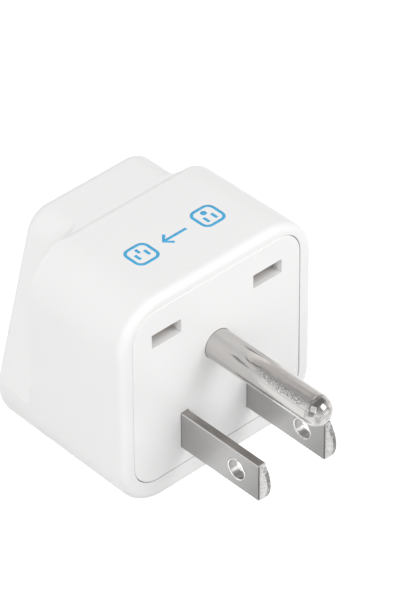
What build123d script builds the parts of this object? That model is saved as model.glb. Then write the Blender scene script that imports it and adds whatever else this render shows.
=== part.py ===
from build123d import *
import os

# Universal travel adapter. The plug side faces -Y, the socket side +Y, and +Z is up.
# Depths are measured from the plug face towards the socket face, all in millimetres.

# Body
BODY_WIDTH = 36.8
BODY_HEIGHT = 36.0
BODY_DEPTH = 27.4
SIDE_DRAFT = 0.015
CORNER_RADIUS = 7.9
WALL = 2.6
RIM_EDGE_RADIUS = 1.2
SOCKET_EDGE_RADIUS = 1.6

# Snout: the body narrows behind a shoulder, between two slanted sides
SHOULDER_DEPTH = 19.0
SHOULDER_STEP = 0.3
SHOULDER_RAMP = 0.7
SHOULDER_BLEND = 1.5
SNOUT_TOP_WIDTH = 21.6
SNOUT_FOOT_HEIGHT = 7.6
SNOUT_TOP_RADIUS = 4.3

# Socket apertures, with heights measured from the row of the two side slots
SOCKET_ROW_HEIGHT = 7.3
APERTURE_CHAMFER = 0.25
WELL_DEPTH = 2.4
WELL_WALL = 1.0
TOP_HOLE_RADIUS = 3.85
TOP_HOLE_DROP = 4.8
TOP_SLOT_WIDTH = 5.1
TOP_SLOT_MARGIN = 2.6
NECK_WIDTH = 2.6
MIDDLE_HOLE_RADIUS = 3.3
MIDDLE_HOLE_RISE = 12.8
MIDDLE_POINT_RADIUS = 1.8
MIDDLE_POINT_RISE = 10.1
CENTRE_SLOT_WIDTH = 4.4
CENTRE_SLOT_LOW = -1.7
CENTRE_SLOT_RISE = 7.0
BLADE_SLOT_WIDTH = 2.5
LINE_SLOT_HEIGHT = 7.6
NEUTRAL_SLOT_HEIGHT = 8.4
SIDE_SLOT_MARGIN = 3.9
SIDE_SLOT_LOW = -3.3
SIDE_SLOT_RISE = 2.7
SIDE_SLOT_END_RISE = 1.5
SIDE_SLOT_END_LENGTH = 1.7
SIDE_SLOT_RAMP_LENGTH = 1.4

# Plug plate
PLATE_SIDE_RIM = 2.45
PLATE_FOOT_RIM = 3.5
PLATE_TOP_RIM = 2.0
PLATE_THICKNESS = 2.4
PLATE_CORNER_RADIUS = 4.5
PLATE_GAP = 0.1
PLATE_EDGE_RADIUS = 0.25
FENCE_HEIGHT = 1.4
FENCE_WALL = 0.9
FENCE_GAP = 0.1
TONGUE_WIDTH = 5.0
TONGUE_REACH = 0.8
TONGUE_THICKNESS = 1.2
TONGUE_SPACING = 18.0

# Snap hooks of the housing and their windows in the plate
WINDOW_WIDTH = 5.5
WINDOW_HEIGHT = 2.35
WINDOW_SPACING = 19.2
WINDOW_DROP = 5.2
WINDOW_LEDGE_DEPTH = 2.0
HOOK_GAP = 0.1
HOOK_ARM_THICKNESS = 1.5
HOOK_ROOT_DEPTH = 12.5

# Plug pins
PIN_LINE_HEIGHT = 9.8
BLADE_SPACING = 12.7
BLADE_HEIGHT = 6.35
BLADE_THICKNESS = 1.45
BLADE_REACH = 17.1
BLADE_TIP_LENGTH = 1.5
BLADE_TIP_THICKNESS = 0.6
BLADE_TIP_STEP = 0.2
BLADE_HOLE_RADIUS = 1.58
BLADE_HOLE_REACH = 11.3
BLADE_EDGE_CHAMFER = 0.15
BLADE_BEND_RADIUS = 1.3
BLADE_FOOT_OVERHANG = 0.65
EARTH_PIN_RISE = 11.89
EARTH_PIN_RADIUS = 2.375
EARTH_PIN_REACH = 22.0
EARTH_DOME_STEP = 0.06
EARTH_SHANK_RELIEF = 0.2
EARTH_COLLAR_RADIUS = 3.6
EARTH_SPIGOT_RADIUS = 1.3
PIN_GAP = 0.05

# Stamped contacts
SHEET = 0.6
SHEET_BEND = 1.0
CONTACT_MOUTH_GAP = 0.6
CONTACT_LIP_LENGTH = 1.8
CONTACT_WAIST_LENGTH = 6.0
SIDE_CLIP_INNER = 5.0
SIDE_CLIP_ROOM = 0.2
SIDE_CLIP_HALF_GAP = 3.4
BLADE_JAW_HALF_GAP = 3.1
BLADE_JAW_LENGTH = 2.7
PIN_JAW_HALF_GAP = 1.9
JAW_SLIT = 0.5
LIP_FLARE = 1.0
EARTH_CLIP_HALF_GAP = 2.7
EARTH_JAW_HALF_GAP = 1.75
EARTH_CLIP_LOW = -2.0
EARTH_CLIP_ROOM = 1.5

# Rivets
RIVET_RADIUS = 1.0
RIVET_HEAD_RADIUS = 1.7
RIVET_HEAD_HEIGHT = 0.7
RIVET_EDGE = 2.05
RIVET_DROP = 1.65
RIVET_SEAT_GAP = 0.1

# Walls between the three chambers of the housing
BARRIER_INNER = 3.5
BARRIER_WALL = 1.0
BARRIER_GAP = 0.3

# The origin lies on the bottom face, midway between the pin tip and the socket face
PLUG_FACE_Y = (EARTH_PIN_REACH - BODY_DEPTH) / 2
BLADE_X = BLADE_SPACING / 2
PLATE_WIDTH = BODY_WIDTH - 2 * PLATE_SIDE_RIM
PLATE_TOP = BODY_HEIGHT - PLATE_TOP_RIM
WINDOW_CENTRE_HEIGHT = PLATE_TOP - WINDOW_DROP
TOP_SLOT_RISE = BODY_HEIGHT - TOP_SLOT_MARGIN - SOCKET_ROW_HEIGHT
TOP_HOLE_RISE = TOP_SLOT_RISE - TOP_HOLE_DROP
EARTH_CLIP_RISE = BODY_HEIGHT - WALL - EARTH_CLIP_ROOM - SOCKET_ROW_HEIGHT
EARTH_PIN_HEIGHT = PIN_LINE_HEIGHT + EARTH_PIN_RISE
FOOT_TOP = PLATE_THICKNESS + BLADE_THICKNESS
CONTACT_SEAT = FOOT_TOP + SHEET
WELL_END = BODY_DEPTH - WALL - WELL_DEPTH
CONTACT_MOUTH = WELL_END - CONTACT_MOUTH_GAP
RIVET_HEIGHT = PIN_LINE_HEIGHT - RIVET_DROP
BEYOND = BODY_WIDTH


def across(depth):
    """Plane across the body at a depth: the sketch's x is X, its y is Z, its normal is -Y."""
    return Plane(origin=(0, PLUG_FACE_Y + depth, 0), x_dir=(1, 0, 0), z_dir=(0, -1, 0))


def bar(sketch, start, end):
    """Solid of a sketch across the body, from one depth to a greater one."""
    return extrude(across(end) * sketch, amount=end - start)


def box_between(low, high):
    """Rectangle of a sketch from its low corner to its high one."""
    centre = ((low[0] + high[0]) / 2, (low[1] + high[1]) / 2)
    return Pos(*centre) * Rectangle(high[0] - low[0], high[1] - low[1])


def both_sides(shape):
    """A shape with its mirror image on the other side of the body."""
    return shape + mirror(shape, about=Plane.YZ)


def drafted_block(inset, start, end):
    """Block whose two sides come together towards the socket, with its four long edges rounded."""
    low = PLUG_FACE_Y + start
    high = PLUG_FACE_Y + end
    front = BODY_WIDTH / 2 - SIDE_DRAFT * start - inset
    rear = BODY_WIDTH / 2 - SIDE_DRAFT * end - inset
    plan = make_face(Polyline((-front, low), (front, low), (rear, high), (-rear, high), close=True))
    block = Pos(0, 0, inset) * extrude(plan, amount=BODY_HEIGHT - 2 * inset)
    long_edges = block.edges().filter_by(Plane.XZ, reverse=True)
    return fillet(long_edges, CORNER_RADIUS - inset)


def snout_section(inset):
    """Trapezoid that bounds the body behind its shoulder, moved in from its surface."""
    top = (SNOUT_TOP_WIDTH / 2, BODY_HEIGHT - SHOULDER_STEP)
    foot = (BODY_WIDTH / 2, SNOUT_FOOT_HEIGHT)
    spread = (foot[0] - top[0]) / (top[1] - foot[1])
    low = -BODY_HEIGHT / 2
    bottom = (foot[0] + spread * (foot[1] - low), low)
    corners = [top, bottom, (-bottom[0], low), (-top[0], top[1])]
    outline = make_face(Polyline(*corners, close=True))
    if inset:
        outline = offset(outline, -inset, kind=Kind.INTERSECTION)
    upper = outline.vertices().sort_by(Axis.Y)[2:]
    return fillet(upper, SNOUT_TOP_RADIUS - inset)


def snout_cutter(shoulder, end):
    """Tool for all that lies beyond the snout: a round front edge at its sides, a ramp on top."""
    beyond = Rectangle(2 * BEYOND, 2 * BEYOND + BODY_HEIGHT) - snout_section(0)
    cutter = bar(beyond, shoulder, end + WALL)
    front = cutter.faces().sort_by(Axis.Y)[0]
    sides = [edge for edge in front.inner_wires()[0].edges() if (edge @ 0.5).Z > 0]
    cutter = fillet(sides, SHOULDER_BLEND)
    top = BODY_HEIGHT + WALL
    ramp = Polyline(
        (PLUG_FACE_Y + shoulder - SHOULDER_RAMP, BODY_HEIGHT),
        (PLUG_FACE_Y + shoulder, BODY_HEIGHT - SHOULDER_STEP),
        (PLUG_FACE_Y + end + WALL, BODY_HEIGHT - SHOULDER_STEP),
        (PLUG_FACE_Y + end + WALL, top),
        (PLUG_FACE_Y + shoulder - SHOULDER_RAMP, top),
        close=True,
    )
    return cutter + Pos(-BODY_WIDTH / 2, 0, 0) * extrude(Plane.YZ * make_face(ramp), amount=BODY_WIDTH)


def top_aperture():
    """Round hole under a square notch, for the long upright earth pin."""
    hole = Pos(0, TOP_HOLE_RISE) * Circle(TOP_HOLE_RADIUS)
    half = TOP_SLOT_WIDTH / 2
    notch = box_between((-half, TOP_HOLE_RISE), (half, TOP_SLOT_RISE))
    return hole + notch


def middle_aperture():
    """Round hole that tapers downwards, joined to the top aperture by a narrow neck."""
    big = Pos(0, MIDDLE_HOLE_RISE) * Circle(MIDDLE_HOLE_RADIUS)
    small = Pos(0, MIDDLE_POINT_RISE) * Circle(MIDDLE_POINT_RADIUS)
    drop = make_hull(big.edges() + small.edges())
    half = NECK_WIDTH / 2
    neck = box_between((-half, MIDDLE_HOLE_RISE), (half, TOP_HOLE_RISE))
    return drop + neck


def centre_slot():
    """Upright slot with round ends on the row of the side slots."""
    rise = (CENTRE_SLOT_LOW + CENTRE_SLOT_RISE) / 2
    length = CENTRE_SLOT_RISE - CENTRE_SLOT_LOW
    return Pos(0, rise) * Rot(0, 0, 90) * SlotOverall(length, CENTRE_SLOT_WIDTH)


def side_slot(blade_slot_height):
    """Upright slot for a flat blade, opening into a wide one with a stepped upper edge."""
    half = BLADE_SLOT_WIDTH / 2
    reach = BODY_WIDTH / 2 - SIDE_SLOT_MARGIN
    ramp_end = reach - SIDE_SLOT_END_LENGTH
    upright = Pos(BLADE_X, 0) * Rectangle(BLADE_SLOT_WIDTH, blade_slot_height)
    wide = Polyline(
        (BLADE_X + half, SIDE_SLOT_LOW),
        (reach, SIDE_SLOT_LOW),
        (reach, SIDE_SLOT_END_RISE),
        (ramp_end, SIDE_SLOT_END_RISE),
        (ramp_end - SIDE_SLOT_RAMP_LENGTH, SIDE_SLOT_RISE),
        (BLADE_X + half, SIDE_SLOT_RISE),
        close=True,
    )
    return upright + make_face(wide)


def socket_apertures():
    """All openings of the socket face, as separate outlines round the slot row."""
    neutral = mirror(side_slot(NEUTRAL_SLOT_HEIGHT), about=Plane.YZ)
    outlines = [top_aperture() + middle_aperture(), centre_slot(), side_slot(LINE_SLOT_HEIGHT), neutral]
    return [Pos(0, SOCKET_ROW_HEIGHT) * outline for outline in outlines]


def plate_outline(gap):
    """Outline of the plug plate, grown by a gap for its pocket."""
    middle = (PLATE_FOOT_RIM + PLATE_TOP) / 2
    height = PLATE_TOP - PLATE_FOOT_RIM + 2 * gap
    return Pos(0, middle) * RectangleRounded(PLATE_WIDTH + 2 * gap, height, PLATE_CORNER_RADIUS + gap)


def window():
    """Outline of the window for the hook on the X side."""
    return Pos(WINDOW_SPACING / 2, WINDOW_CENTRE_HEIGHT) * Rectangle(WINDOW_WIDTH, WINDOW_HEIGHT)


def snap_hook():
    """Spring arm from the housing's top wall, whose sloped nose locks in the plate's window."""
    low = WINDOW_CENTRE_HEIGHT - WINDOW_HEIGHT / 2 + HOOK_GAP
    arm_top = low + HOOK_ARM_THICKNESS
    tip = WINDOW_CENTRE_HEIGHT + WINDOW_HEIGHT / 2 - HOOK_GAP
    catch = PLUG_FACE_Y + WINDOW_LEDGE_DEPTH - HOOK_GAP
    root = PLUG_FACE_Y + HOOK_ROOT_DEPTH
    back = root + 2 * HOOK_ARM_THICKNESS
    profile = Polyline(
        (PLUG_FACE_Y + HOOK_GAP, low),
        (catch, tip),
        (catch, arm_top),
        (root, arm_top),
        (root, BODY_HEIGHT - WALL / 2),
        (back, BODY_HEIGHT - WALL / 2),
        (back, low),
        close=True,
    )
    width = WINDOW_WIDTH - 2 * HOOK_GAP
    start = (WINDOW_SPACING - width) / 2
    return Pos(start, 0, 0) * extrude(Plane.YZ * make_face(profile), amount=width)


def outer_body():
    """Body before it is hollowed, with its rounded edges."""
    body = drafted_block(0, 0, BODY_DEPTH) - snout_cutter(SHOULDER_DEPTH, BODY_DEPTH)
    body = fillet(body.faces().sort_by(Axis.Y)[-1].edges(), SOCKET_EDGE_RADIUS)
    return fillet(body.faces().sort_by(Axis.Y)[0].edges(), RIM_EDGE_RADIUS)


def inner_space():
    """Room inside the body, one wall thickness in from its surface."""
    end = BODY_DEPTH - WALL
    shoulder = SHOULDER_DEPTH - WALL
    block = drafted_block(WALL, PLATE_THICKNESS, end)
    beyond = Rectangle(2 * BEYOND, 2 * BEYOND + BODY_HEIGHT) - snout_section(WALL)
    return block - bar(beyond, shoulder, end + WALL)


def socket_housing():
    """Moulded body with its cavity, apertures, guide wells, barriers and snap hooks."""
    cavity = inner_space()
    housing = outer_body() - cavity - bar(plate_outline(PLATE_GAP), -WALL, PLATE_THICKNESS)
    barrier = box_between((BARRIER_INNER, 0), (BARRIER_INNER + BARRIER_WALL, BODY_HEIGHT))
    lining = bar(both_sides(barrier), FOOT_TOP + BARRIER_GAP, BODY_DEPTH - WALL / 2)
    lining += both_sides(snap_hook())
    for outline in socket_apertures():
        lining += bar(offset(outline, WELL_WALL), WELL_END, BODY_DEPTH - WALL / 2)
    housing += lining & cavity
    for outline in socket_apertures():
        housing -= bar(outline, WELL_END, BODY_DEPTH + WALL)
    socket_face = housing.faces().sort_by(Axis.Y)[-1]
    rims = [edge for wire in socket_face.inner_wires() for edge in wire.edges()]
    return chamfer(rims, APERTURE_CHAMFER)


def side_clip_outer():
    """How far a side clip may reach before its lower jaw meets the cavity's rounded corner."""
    corner = CORNER_RADIUS - WALL
    drop = CORNER_RADIUS - (SOCKET_ROW_HEIGHT - SIDE_CLIP_HALF_GAP - SHEET)
    middle = BODY_WIDTH / 2 - SIDE_DRAFT * BODY_DEPTH - CORNER_RADIUS
    return middle + (corner ** 2 - drop ** 2) ** 0.5 - SIDE_CLIP_ROOM


def rivet_reach():
    """How far from the middle the rivets stand."""
    return side_clip_outer() - RIVET_EDGE


def foot_fences():
    """Low walls on the plate's back round each blade foot and each window."""
    inner = BLADE_X - BLADE_THICKNESS / 2 - PIN_GAP - FENCE_GAP
    outer = side_clip_outer() + BLADE_FOOT_OVERHANG + FENCE_GAP
    low = PIN_LINE_HEIGHT - BLADE_HEIGHT / 2 - FENCE_GAP
    room = box_between((inner, low), (outer, low + BLADE_HEIGHT + 2 * FENCE_GAP))
    fence = offset(room, FENCE_WALL, kind=Kind.INTERSECTION) - room
    frame = offset(window(), FENCE_WALL, kind=Kind.INTERSECTION)
    height = PLATE_THICKNESS + FENCE_HEIGHT
    return both_sides(bar(fence, PLATE_THICKNESS, height) + bar(frame, PLATE_THICKNESS / 2, height))


def tongues():
    """Two tongues that hold the plate's foot behind the housing's lower rim."""
    left = (TONGUE_SPACING - TONGUE_WIDTH) / 2
    high = PIN_LINE_HEIGHT - BLADE_HEIGHT / 2
    tongue = box_between((left, PLATE_FOOT_RIM - TONGUE_REACH), (left + TONGUE_WIDTH, high))
    return both_sides(bar(tongue, PLATE_THICKNESS, PLATE_THICKNESS + TONGUE_THICKNESS))


def blade_slot():
    """Slot for a blade, with room for its bend and a seat for the rivet's head."""
    half = BLADE_THICKNESS / 2 + PIN_GAP
    low = PIN_LINE_HEIGHT - BLADE_HEIGHT / 2 - PIN_GAP
    high = PIN_LINE_HEIGHT + BLADE_HEIGHT / 2 + PIN_GAP
    bend = BLADE_BEND_RADIUS - BLADE_THICKNESS / 2 + PIN_GAP
    slot = bar(box_between((BLADE_X - half, low), (BLADE_X + half, high)), -WALL, FOOT_TOP)
    bend_room = box_between((BLADE_X - half, low), (BLADE_X + half + bend, high))
    slot += bar(bend_room, PLATE_THICKNESS - bend, FOOT_TOP)
    rivet_seat = Pos(rivet_reach(), RIVET_HEIGHT) * Circle(RIVET_HEAD_RADIUS + RIVET_SEAT_GAP)
    return slot + bar(rivet_seat, PLATE_THICKNESS - RIVET_HEAD_HEIGHT - RIVET_SEAT_GAP, FOOT_TOP)


def hook_passage():
    """Window for a hook's nose, with a smaller passage behind it for the arm."""
    left = (WINDOW_SPACING - WINDOW_WIDTH) / 2
    low = WINDOW_CENTRE_HEIGHT - WINDOW_HEIGHT / 2
    arm_room = 2 * HOOK_GAP + HOOK_ARM_THICKNESS
    passage = box_between((left, low), (left + WINDOW_WIDTH, low + arm_room))
    return bar(window(), -WALL, WINDOW_LEDGE_DEPTH) + bar(passage, -WALL, HOOK_ROOT_DEPTH)


def plug_plate():
    """Snap-in plate with slots for the pins, windows for the hooks and fences round the feet."""
    plate = bar(plate_outline(0), 0, PLATE_THICKNESS)
    plate = fillet(plate.faces().sort_by(Axis.Y)[0].edges(), PLATE_EDGE_RADIUS)
    plate += foot_fences() + tongues()
    plate -= both_sides(blade_slot() + hook_passage())
    earth_hole = Pos(0, EARTH_PIN_HEIGHT) * Circle(EARTH_PIN_RADIUS + PIN_GAP)
    return plate - bar(earth_hole, -WALL, FOOT_TOP)


def blade_tip():
    """Coined end of a blade: thinner than the blade, tapered, with a round outline."""
    root = PLUG_FACE_Y - BLADE_REACH + BLADE_TIP_LENGTH
    tip = PLUG_FACE_Y - BLADE_REACH
    half = BLADE_HEIGHT / 2
    low = (root, PIN_LINE_HEIGHT - half)
    high = (root, PIN_LINE_HEIGHT + half)
    outline = make_face(ThreePointArc(low, (tip, PIN_LINE_HEIGHT), high) + Line(high, low))
    thick = BLADE_THICKNESS / 2 - BLADE_TIP_STEP
    thin = BLADE_TIP_THICKNESS / 2
    wedge = make_face(Polyline((-thick, root), (thick, root), (thin, tip), (-thin, tip), close=True))
    side_view = Pos(-BLADE_X, 0, 0) * extrude(Plane.YZ * outline, amount=2 * BLADE_X)
    return Pos(BLADE_X, 0, 0) * (side_view & extrude(wedge, amount=PIN_LINE_HEIGHT + BLADE_HEIGHT))


def blade():
    """Flat pin with a coined tip, whose other end is bent outwards into a foot."""
    root = PLUG_FACE_Y - BLADE_REACH + BLADE_TIP_LENGTH
    foot = PLUG_FACE_Y + PLATE_THICKNESS + BLADE_THICKNESS / 2
    foot_end = side_clip_outer() + BLADE_FOOT_OVERHANG
    path = FilletPolyline((BLADE_X, root), (BLADE_X, foot), (foot_end, foot), radius=BLADE_BEND_RADIUS)
    low = PIN_LINE_HEIGHT - BLADE_HEIGHT / 2
    strip = Pos(0, 0, low) * extrude(trace(path, BLADE_THICKNESS), amount=BLADE_HEIGHT)
    corners = strip.edges().filter_by(Axis.Y).filter_by_position(Axis.Y, root, PLUG_FACE_Y)
    strip = chamfer(corners, BLADE_EDGE_CHAMFER) + blade_tip()
    hole = Cylinder(BLADE_HOLE_RADIUS, BLADE_SPACING, rotation=(0, 90, 0))
    strip -= Pos(BLADE_X, PLUG_FACE_Y - BLADE_HOLE_REACH, PIN_LINE_HEIGHT) * hole
    rivet_hole = Pos(rivet_reach(), RIVET_HEIGHT) * Circle(RIVET_RADIUS + PIN_GAP)
    return strip - bar(rivet_hole, 0, CONTACT_SEAT)


def dome_line(radius, seat, top):
    """Arc of a low dome from its rim at the seat to its middle."""
    half = radius / 2
    sagitta = top - seat
    sphere = (radius ** 2 + sagitta ** 2) / (2 * sagitta)
    rise = (sphere ** 2 - half ** 2) ** 0.5 - (sphere - sagitta)
    return ThreePointArc((radius, seat), (half, seat + rise), (0, top))


def earth_pin():
    """Turned pin with a domed tip, a collar behind the plate and a spigot riveted over."""
    dome = EARTH_PIN_RADIUS - EARTH_DOME_STEP
    shank = EARTH_PIN_RADIUS - EARTH_SHANK_RELIEF
    tip = CenterArc((0, dome - EARTH_PIN_REACH), dome, start_angle=270, arc_size=90)
    head = EARTH_SPIGOT_RADIUS + RIVET_HEAD_HEIGHT
    side = Polyline(
        (dome, dome - EARTH_PIN_REACH),
        (EARTH_PIN_RADIUS, dome - EARTH_PIN_REACH),
        (EARTH_PIN_RADIUS, 0),
        (shank, 0),
        (shank, PLATE_THICKNESS),
        (EARTH_COLLAR_RADIUS, PLATE_THICKNESS),
        (EARTH_COLLAR_RADIUS, FOOT_TOP),
        (EARTH_SPIGOT_RADIUS, FOOT_TOP),
        (EARTH_SPIGOT_RADIUS, CONTACT_SEAT),
        (head, CONTACT_SEAT),
    )
    crown_top = CONTACT_SEAT + RIVET_HEAD_HEIGHT
    crown = dome_line(head, CONTACT_SEAT, crown_top)
    axis = Line((0, crown_top), (0, -EARTH_PIN_REACH))
    turned = revolve(make_face(tip + side + crown + axis), axis=Axis.Y)
    return Pos(0, PLUG_FACE_Y, EARTH_PIN_HEIGHT) * turned


def clip_line(half_gap, jaw_half_gap):
    """Middle line of a spring clip, as points (across, depth) from lip to lip round its base."""
    base = FOOT_TOP + SHEET / 2
    root = half_gap + SHEET / 2
    jaw = jaw_half_gap + SHEET / 2
    waist = CONTACT_MOUTH - CONTACT_LIP_LENGTH
    arm = [(root, base), (root, waist - CONTACT_WAIST_LENGTH), (jaw, waist), (jaw + LIP_FLARE, CONTACT_MOUTH)]
    return [(-across_gap, depth) for across_gap, depth in reversed(arm)] + arm


def side_jaws(jaw_half_gap, start, end):
    """Pair of jaws above and below the slot row, open towards the socket face."""
    line = clip_line(SIDE_CLIP_HALF_GAP, jaw_half_gap)
    points = [(PLUG_FACE_Y + depth, SOCKET_ROW_HEIGHT + rise) for rise, depth in line]
    strip = trace(FilletPolyline(*points, radius=SHEET_BEND), SHEET)
    return Pos(start, 0, 0) * extrude(Plane.YZ * strip, amount=end - start)


def side_contact():
    """Stamped clip behind a side slot: jaws for an upright blade, then two pairs for a wide pin."""
    split = SIDE_CLIP_INNER + BLADE_JAW_LENGTH
    outer = side_clip_outer()
    middle = (split + outer) / 2
    contact = side_jaws(BLADE_JAW_HALF_GAP, SIDE_CLIP_INNER, split)
    contact += side_jaws(PIN_JAW_HALF_GAP, split, outer)
    for slit in (split, middle):
        cut = box_between((slit, 0), (slit + JAW_SLIT, 2 * SOCKET_ROW_HEIGHT))
        contact -= bar(cut, CONTACT_SEAT + SHEET_BEND, BODY_DEPTH)
    hole = Pos(rivet_reach(), RIVET_HEIGHT) * Circle(RIVET_RADIUS + PIN_GAP)
    return contact - bar(hole, 0, CONTACT_SEAT + SHEET)


def earth_contact():
    """Long stamped clip behind the middle apertures, slit into a pair of jaws for each."""
    line = clip_line(EARTH_CLIP_HALF_GAP, EARTH_JAW_HALF_GAP)
    points = [(reach, PLUG_FACE_Y + depth) for reach, depth in line]
    strip = trace(FilletPolyline(*points, radius=SHEET_BEND), SHEET)
    low = SOCKET_ROW_HEIGHT + EARTH_CLIP_LOW
    contact = Pos(0, 0, low) * extrude(strip, amount=EARTH_CLIP_RISE - EARTH_CLIP_LOW)
    slit_rises = [
        (CENTRE_SLOT_RISE + MIDDLE_POINT_RISE - MIDDLE_POINT_RADIUS) / 2,
        MIDDLE_HOLE_RISE + MIDDLE_HOLE_RADIUS,
    ]
    for rise in slit_rises:
        slit = Pos(0, SOCKET_ROW_HEIGHT + rise) * Rectangle(BLADE_SPACING, JAW_SLIT)
        contact -= bar(slit, CONTACT_SEAT + SHEET_BEND, BODY_DEPTH)
    hole = Pos(0, EARTH_PIN_HEIGHT) * Circle(EARTH_SPIGOT_RADIUS + PIN_GAP)
    return contact - bar(hole, 0, CONTACT_SEAT + SHEET)


def contact_rivets():
    """Two rivets with a flat head in the plate and a domed one on the contact."""
    head_seat = PLATE_THICKNESS - RIVET_HEAD_HEIGHT
    crown_top = CONTACT_SEAT + RIVET_HEAD_HEIGHT
    side = Polyline(
        (0, crown_top),
        (0, head_seat),
        (RIVET_HEAD_RADIUS, head_seat),
        (RIVET_HEAD_RADIUS, PLATE_THICKNESS),
        (RIVET_RADIUS, PLATE_THICKNESS),
        (RIVET_RADIUS, CONTACT_SEAT),
        (RIVET_HEAD_RADIUS, CONTACT_SEAT),
    )
    crown = dome_line(RIVET_HEAD_RADIUS, CONTACT_SEAT, crown_top)
    rivet = Pos(rivet_reach(), PLUG_FACE_Y, RIVET_HEIGHT) * revolve(make_face(side + crown), axis=Axis.Y)
    return both_sides(rivet)


pieces = {
    "socket_housing": socket_housing(),
    "plug_plate": plug_plate(),
    "line_blade": blade(),
    "neutral_blade": mirror(blade(), about=Plane.YZ),
    "earth_pin": earth_pin(),
    "line_contact": side_contact(),
    "neutral_contact": mirror(side_contact(), about=Plane.YZ),
    "earth_contact": earth_contact(),
    "contact_rivets": contact_rivets(),
}
os.makedirs("parts", exist_ok=True)
for name, piece in pieces.items():
    export_step(piece, f"parts/{name}.step")
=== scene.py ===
import math

import bpy
from bpy.props import FloatProperty, FloatVectorProperty, IntProperty, PointerProperty
from mathutils import Matrix, Vector


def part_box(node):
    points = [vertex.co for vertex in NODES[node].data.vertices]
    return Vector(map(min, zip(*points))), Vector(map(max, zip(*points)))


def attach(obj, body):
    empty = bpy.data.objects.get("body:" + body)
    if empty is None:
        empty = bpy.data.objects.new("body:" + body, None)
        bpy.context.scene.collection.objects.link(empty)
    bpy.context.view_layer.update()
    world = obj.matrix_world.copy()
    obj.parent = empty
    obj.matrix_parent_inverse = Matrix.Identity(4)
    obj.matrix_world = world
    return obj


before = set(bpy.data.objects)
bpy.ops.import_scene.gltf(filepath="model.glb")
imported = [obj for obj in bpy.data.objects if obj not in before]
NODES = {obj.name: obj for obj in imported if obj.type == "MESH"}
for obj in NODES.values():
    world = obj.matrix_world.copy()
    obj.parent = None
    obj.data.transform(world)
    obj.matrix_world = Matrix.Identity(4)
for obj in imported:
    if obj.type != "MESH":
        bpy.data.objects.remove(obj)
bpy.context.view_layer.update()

bl_info = {
    "name": "Travel adapter",
    "version": (1, 0, 0),
    "blender": (4, 5, 0),
    "location": "3D View > Sidebar > Adapter",
    "description": "Finishes, printed mark and studio for a moulded travel adapter",
    "category": "Object",
}

MM = 0.001
BODY = "root"
HOUSING_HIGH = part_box("socket_housing")[1]
PLATE_LOW, PLATE_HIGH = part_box("plug_plate")
BLADE_LOW, BLADE_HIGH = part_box("line_blade")
PIN_LOW, PIN_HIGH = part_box("earth_pin")
PLUG_FACE_Y = PLATE_LOW.y
BLADE_LINE_HEIGHT = (BLADE_LOW.z + BLADE_HIGH.z) / 2
PIN_AXIS_HEIGHT = (PIN_LOW.z + PIN_HIGH.z) / 2

# Distance of the lamps from the object, and half the width of the floor, in metres
LAMP_DISTANCE = 0.6
FLOOR_REACH = 4.0

# Sockets of a mix node: its two numbers, its two colours and its mixed colour
FIRST_NUMBER = 2
SECOND_NUMBER = 3
FIRST_COLOUR = 6
SECOND_COLOUR = 7
MIXED_COLOUR = 2

# Softness and reach of the window shade past the window's edges
WINDOW_EDGE = 0.05 * MM

# Lengths of the polished dome of the round pin and of the coined tip of a blade
DOME_LENGTH = 2.4 * MM
TIP_LENGTH = 1.5 * MM

# Height of the photograph, in pixels
PHOTO_HEIGHT = 601


class PlasticLook(bpy.types.PropertyGroup):
    """White moulded plastic of the housing and the plug plate"""

    colour: FloatVectorProperty(
        name="Plastic", description="Colour of the moulded plastic", subtype="COLOR", size=3,
        min=0, max=1, default=(0.9, 0.9, 0.9),
    )
    roughness: FloatProperty(
        name="Roughness", description="Roughness of the satin surface", subtype="FACTOR",
        min=0, max=1, default=0.42,
    )
    grain: FloatProperty(
        name="Grain size", description="Width of the faint ripples of the moulded skin",
        subtype="DISTANCE", unit="LENGTH", min=0.0001, default=0.0016,
    )


class WindowShade(bpy.types.PropertyGroup):
    """Shade that gathers in the two windows of the plug plate"""

    spacing: FloatProperty(
        name="Spacing", description="Distance between the middles of the windows",
        subtype="DISTANCE", unit="LENGTH", min=0, default=0.0192,
    )
    width: FloatProperty(
        name="Width", description="Width of one window",
        subtype="DISTANCE", unit="LENGTH", min=0, default=0.0055,
    )
    height: FloatProperty(
        name="Height", description="Height of one window",
        subtype="DISTANCE", unit="LENGTH", min=0, default=0.00235,
    )
    drop: FloatProperty(
        name="Drop", description="Distance of the windows' middles from the plate's top edge",
        subtype="DISTANCE", unit="LENGTH", min=0, default=0.0052,
    )
    depth: FloatProperty(
        name="Depth", description="Depth at which the shade is full",
        subtype="DISTANCE", unit="LENGTH", min=0.0001, default=0.002,
    )
    colour: FloatVectorProperty(
        name="Shade", description="Colour of the shaded plastic", subtype="COLOR", size=3,
        min=0, max=1, default=(0.5, 0.475, 0.455),
    )


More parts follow.
